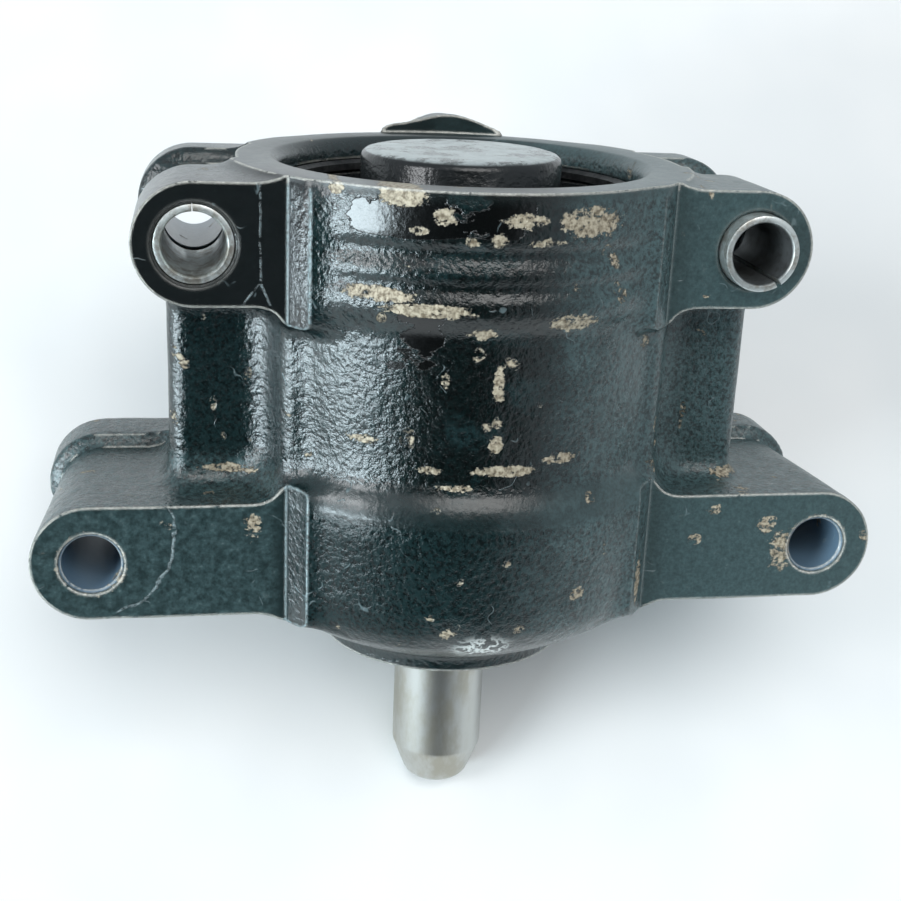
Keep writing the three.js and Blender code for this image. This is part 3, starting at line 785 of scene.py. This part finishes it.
def paint_relief(g, noise, zone, marks, worn):
    """Height, in millimetres, of the orange peel, the pits, the chips and the marks."""
    fine = g.math("ADD", g.times(noise.lumps, 0.10), g.times(noise.pits, 0.10))
    height = g.math("ADD", g.times(noise.grain, 0.15), fine)
    height = g.times(height, g.blend(zone.smooth, g.blend(zone.film, 1.0, 0.22), 0.1))
    height = g.math("SUBTRACT", height, g.times(worn, 0.15))
    return g.math("ADD", height, g.times(marks, 0.1))


def worn_paint():
    g = Graph("worn_black_paint")
    rounded = g.bevel(0.75)
    noise = paint_noises(g)
    zone = paint_zones(g, noise, g.edge(rounded))
    scattered = g.times(g.ramp(noise.lumps, 0.765, 0.785), g.ramp(noise.chips, 0.5, 0.56))
    scattered = g.times(scattered, g.math("SUBTRACT", 1.0, zone.upper_left))
    worn = g.most(worn_edges(g, noise, zone), worn_spots(g, noise.chips), scattered)
    # The marks are witness marks on the ears, and painted glints along curled film.
    marks = g.most(marks_on_ears(g, noise.chips), g.times(curled_film_glints(g, noise.large), 0.7))

    color = paint_color(g, noise, zone, marks, worn)
    roughness = paint_roughness(g, noise, zone, worn)
    normal = g.bump(paint_relief(g, noise, zone, marks, worn), 1.0, 1.0, rounded)
    dull = g.times(g.band(g.z, 8, 33, 3), g.ramp(g.x, -4.0, -12.0), g.band(g.x, -27.5, 0, 0.3))
    shine = g.math("SUBTRACT", 0.5, g.times(dull, zone.rough_cast, 0.32))
    more = {"IOR": 1.6, "Specular IOR Level": shine}
    return g.finish(color, roughness, g.times(worn, 0.12), normal, **more)


def polished_steel():
    g = Graph("polished_steel")
    rings = g.noise(3.0, 5.0, stretch=(0.05, 0.05, 2.5), roughness=0.7)
    stain = g.noise(9.0, 5.0, stretch=(1, 1, 0.4), roughness=0.65, shift=0.4)
    color = g.mix(g.ramp(stain, 0.42, 0.62), (0.50, 0.51, 0.49), (0.40, 0.385, 0.33))
    roughness = g.math("ADD", g.ramp(stain, 0.3, 0.7, 0.26, 0.36), g.times(rings, 0.06))
    return g.finish(color, roughness, 1.0, g.bump(rings, 0.012, 0.4))


def sleeve_steel():
    """Dull steel, darker inside the right sleeve."""
    g = Graph("sleeve_steel")
    marks = g.noise(2.0, 5.0, stretch=(1, 0.1, 1), roughness=0.7)
    dark = g.noise(3.0, 5.0, roughness=0.7, shift=0.4)
    inside = g.ramp(distance(g, g.x, g.z, UPPER_EAR["x"], UPPER_EAR["z"]), 5.35, 5.05)
    color = g.mix(g.ramp(dark, 0.42, 0.66), (0.62, 0.66, 0.65), (0.34, 0.32, 0.28))
    color = g.mix(g.times(inside, 0.75), color, (0.10, 0.11, 0.12))
    roughness = g.ramp(marks, 0.3, 0.7, 0.30, 0.50)
    return g.finish(color, roughness, 0.85, g.bump(marks, 0.05, 0.5))


def cover_paint():
    g = Graph("worn_cover_paint")
    top = g.ramp(g.z, RIM_Z + 0.9, RIM_Z + 1.3)
    rub = g.noise(6.0, 6.0, roughness=0.72, shift=0.2)
    grain = g.noise(1.5, 4.0, roughness=0.6)
    worn = g.times(top, g.ramp(rub, 0.40, 0.52, 0.25, 1.0))
    metal = g.mix(g.noise(2.0, 4.0, shift=0.9), (0.28, 0.32, 0.32), (0.62, 0.67, 0.67))
    color = g.mix(worn, (0.008, 0.010, 0.011), metal)
    roughness = g.blend(worn, 0.2, 0.36)
    return g.finish(color, roughness, g.times(worn, 0.5), g.bump(grain, 0.25, 0.6, g.bevel(0.3)))


def plain_metal(name, dark, light, low, high, metallic=1.0, size=2.5, depth=0.06):
    """A metal or rubber with fine mottling, for the pieces that show little."""
    g = Graph(name)
    mottle = g.noise(size, 5.0, roughness=0.65)
    fine = g.noise(0.6, 3.0, shift=0.5)
    color = g.mix(g.ramp(mottle, 0.35, 0.65), dark, light)
    return g.finish(color, g.ramp(fine, 0.3, 0.7, low, high), metallic, g.bump(mottle, depth, 0.7))


CAD_FINISHES = {
    "machined_iron": plain_metal("machined_iron", (0.20, 0.20, 0.21), (0.36, 0.36, 0.37), 0.3, 0.5),
    "spring_steel": plain_metal("spring_steel", (0.10, 0.10, 0.11), (0.22, 0.22, 0.23), 0.3, 0.5),
    "bronze": plain_metal("bearing_bronze", (0.36, 0.24, 0.11), (0.56, 0.40, 0.20), 0.3, 0.5),
    "rubber": plain_metal("nitrile_rubber", (0.008, 0.008, 0.008), (0.02, 0.02, 0.02), 0.55, 0.8, 0.0),
    "zinc_plate": plain_metal("zinc_plate", (0.34, 0.33, 0.29), (0.58, 0.56, 0.50), 0.25, 0.5),
    "polished_steel": polished_steel(),
    "sleeve_steel": sleeve_steel(),
    "black_paint": worn_paint(),
    "dark_spring": plain_metal("dark_spring", (0.015, 0.016, 0.017), (0.05, 0.05, 0.05), 0.3, 0.45, 0.6),
}


CAD_PIECES = {
    "machined_iron": [
        "thrust_plate", "cam_ring", "pressure_plate", "dowel_pin_front", "dowel_pin_rear", "rotor",
        "flow_valve_spool",
    ],
    "dark_spring": ["retaining_ring"],
    "spring_steel": ["pressure_spring", "shaft_snap_ring"] + [f"vane_{i:02d}" for i in range(1, 11)],
    "bronze": ["shaft_bushing"],
    "rubber": ["shaft_seal", "pressure_plate_o_ring", "end_cover_o_ring", "outlet_union_o_ring"],
    "zinc_plate": ["outlet_union", "inlet_tube"],
}


def dress_cad_pieces():
    """Gives every CAD piece that is shown as it is the procedural material of its slot."""
    for slot, nodes in CAD_PIECES.items():
        for node in nodes:
            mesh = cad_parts[node].data
            mesh.materials.clear()
            mesh.materials.append(CAD_FINISHES[slot])


# ---- stage, light and camera ----


def stage():
    tilt = math.radians(48)
    mesh = bpy.data.meshes.new("sheet")
    reach = 4.0
    corners = [(-reach, -reach, 0), (reach, -reach, 0), (reach, reach, 0), (-reach, reach, 0)]
    mesh.from_pydata(corners, [], [(0, 1, 2, 3)])
    sheet = bpy.data.objects.new("sheet", mesh)
    sheet.matrix_world = Matrix.Translation((0, 0, -0.0005)) @ Matrix.Rotation(tilt, 4, "X")
    bpy.context.scene.collection.objects.link(sheet)
    g = Graph("pale_sheet")
    tone = g.noise(90.0, 3.0)
    color = g.mix(g.ramp(tone, 0.35, 0.65), (0.84, 0.86, 0.865), (0.91, 0.915, 0.91))
    g.finish(color, 0.8, 0.0, g.bump(g.noise(45.0, 2.0, shift=0.4), 1.2, 0.5))
    clear = g.node("ShaderNodeBsdfTransparent")
    either = g.node("ShaderNodeMixShader")
    g.link(g.node("ShaderNodeNewGeometry").outputs["Backfacing"], either.inputs[0])
    g.link(g.surface.outputs[0], either.inputs[1])
    g.link(clear.outputs[0], either.inputs[2])
    g.link(either.outputs[0], g.output.inputs[0])
    mesh.materials.append(g.material)


def area_light(name, place, target, size, power, color):
    data = bpy.data.lights.new(name, "AREA")
    data.shape = "RECTANGLE"
    data.size, data.size_y = size
    data.energy = power
    data.color = color
    light = bpy.data.objects.new(name, data)
    light.location = place
    light.rotation_mode = "QUATERNION"
    light.rotation_quaternion = (Vector(target) - Vector(place)).to_track_quat("-Z", "Y")
    bpy.context.scene.collection.objects.link(light)


def sky():
    """A pale room with one dark side, behind the camera, and a brighter side to the left."""
    world = bpy.data.worlds.new("pale_room")
    world.use_nodes = True
    tree = world.node_tree
    background = tree.nodes["Background"]
    direction = tree.nodes.new("ShaderNodeNewGeometry").outputs["Incoming"]

    def toward(axis, low, high, out_low, out_high):
        dot = tree.nodes.new("ShaderNodeVectorMath")
        dot.operation = "DOT_PRODUCT"
        tree.links.new(direction, dot.inputs[0])
        dot.inputs[1].default_value = Vector(axis).normalized() * -1
        ramp = tree.nodes.new("ShaderNodeMapRange")
        ramp.interpolation_type = "SMOOTHSTEP"
        tree.links.new(dot.outputs["Value"], ramp.inputs[0])
        for socket, value in zip(ramp.inputs[1:5], (low, high, out_low, out_high)):
            socket.default_value = value
        return ramp.outputs[0]

    product = tree.nodes.new("ShaderNodeMath")
    product.operation = "MULTIPLY"
    tree.links.new(toward((-0.15, -0.97, -0.2), 0.74, 0.93, 1.0, 0.03), product.inputs[0])
    tree.links.new(toward((0, -0.74, 0.67), -0.5, 0.6, 0.55, 0.62), product.inputs[1])
    background.inputs[0].default_value = (0.84, 0.93, 1.0, 1)
    tree.links.new(product.outputs[0], background.inputs[1])
    bpy.context.scene.world = world


def lights():
    sky()
    area_light("window", (-1.43, -0.52, -0.17), (0, 0, 0.09), (1.5, 0.32), 30.0, (0.78, 0.93, 1.0))
    area_light("left_wall", (-1.31, -0.76, 0.55), (0, 0, 0.05), (0.5, 0.5), 8.0, (0.96, 0.98, 1.0))
    area_light("ceiling", (0.20, -1.26, 1.14), (0, 0, 0.05), (1.2, 1.0), 13.0, (1.0, 0.985, 0.96))
    bpy.context.scene.view_settings.view_transform = "Standard"


def photo_camera():
    yaw, pitch, roll = [math.radians(a) for a in (10.55, 18.76, 2.58)]
    ahead = Vector((math.sin(yaw) * math.cos(pitch), math.cos(yaw) * math.cos(pitch), -math.sin(pitch)))
    level = Vector((math.cos(yaw), -math.sin(yaw), 0))
    upward = level.cross(ahead)
    right = level * math.cos(roll) + upward * math.sin(roll)
    up = upward * math.cos(roll) - level * math.sin(roll)
    place = Vector((-44.9, -243.2, NOSE_Z + RIM_Z + 31.2)) * MM
    data = bpy.data.cameras.new("camera")
    data.lens = 57.0
    data.sensor_width = 36.0
    data.clip_start = 0.01
    camera = bpy.data.objects.new("camera", data)
    turn = Matrix((right, up, -ahead)).transposed().to_4x4()
    camera.matrix_world = Matrix.Translation(place) @ turn
    bpy.context.scene.collection.objects.link(camera)
    bpy.context.scene.camera = camera


body = housing()
body.data.materials.clear()
body.data.materials.append(CAD_FINISHES["black_paint"])
shaft = add_object("polished_shaft", *shaft_shape())
finished(shaft, "rotating_group", "drive_shaft", CAD_FINISHES["polished_steel"])
cover = add_object("worn_end_cover", *cover_shape())
finished(cover, "pump_body", "end_cover", cover_paint())
slip_sleeve("worn_sleeve_left", -1, -EAR_FACE_Y + 0.4, -92, 0.16, CAD_FINISHES["sleeve_steel"])
slip_sleeve("worn_sleeve_right", 1, -EAR_FACE_Y - 3.0, 57, 0.8, CAD_FINISHES["sleeve_steel"])
valve_spring(CAD_FINISHES["spring_steel"])
dress_cad_pieces()
stage()
lights()
photo_camera()
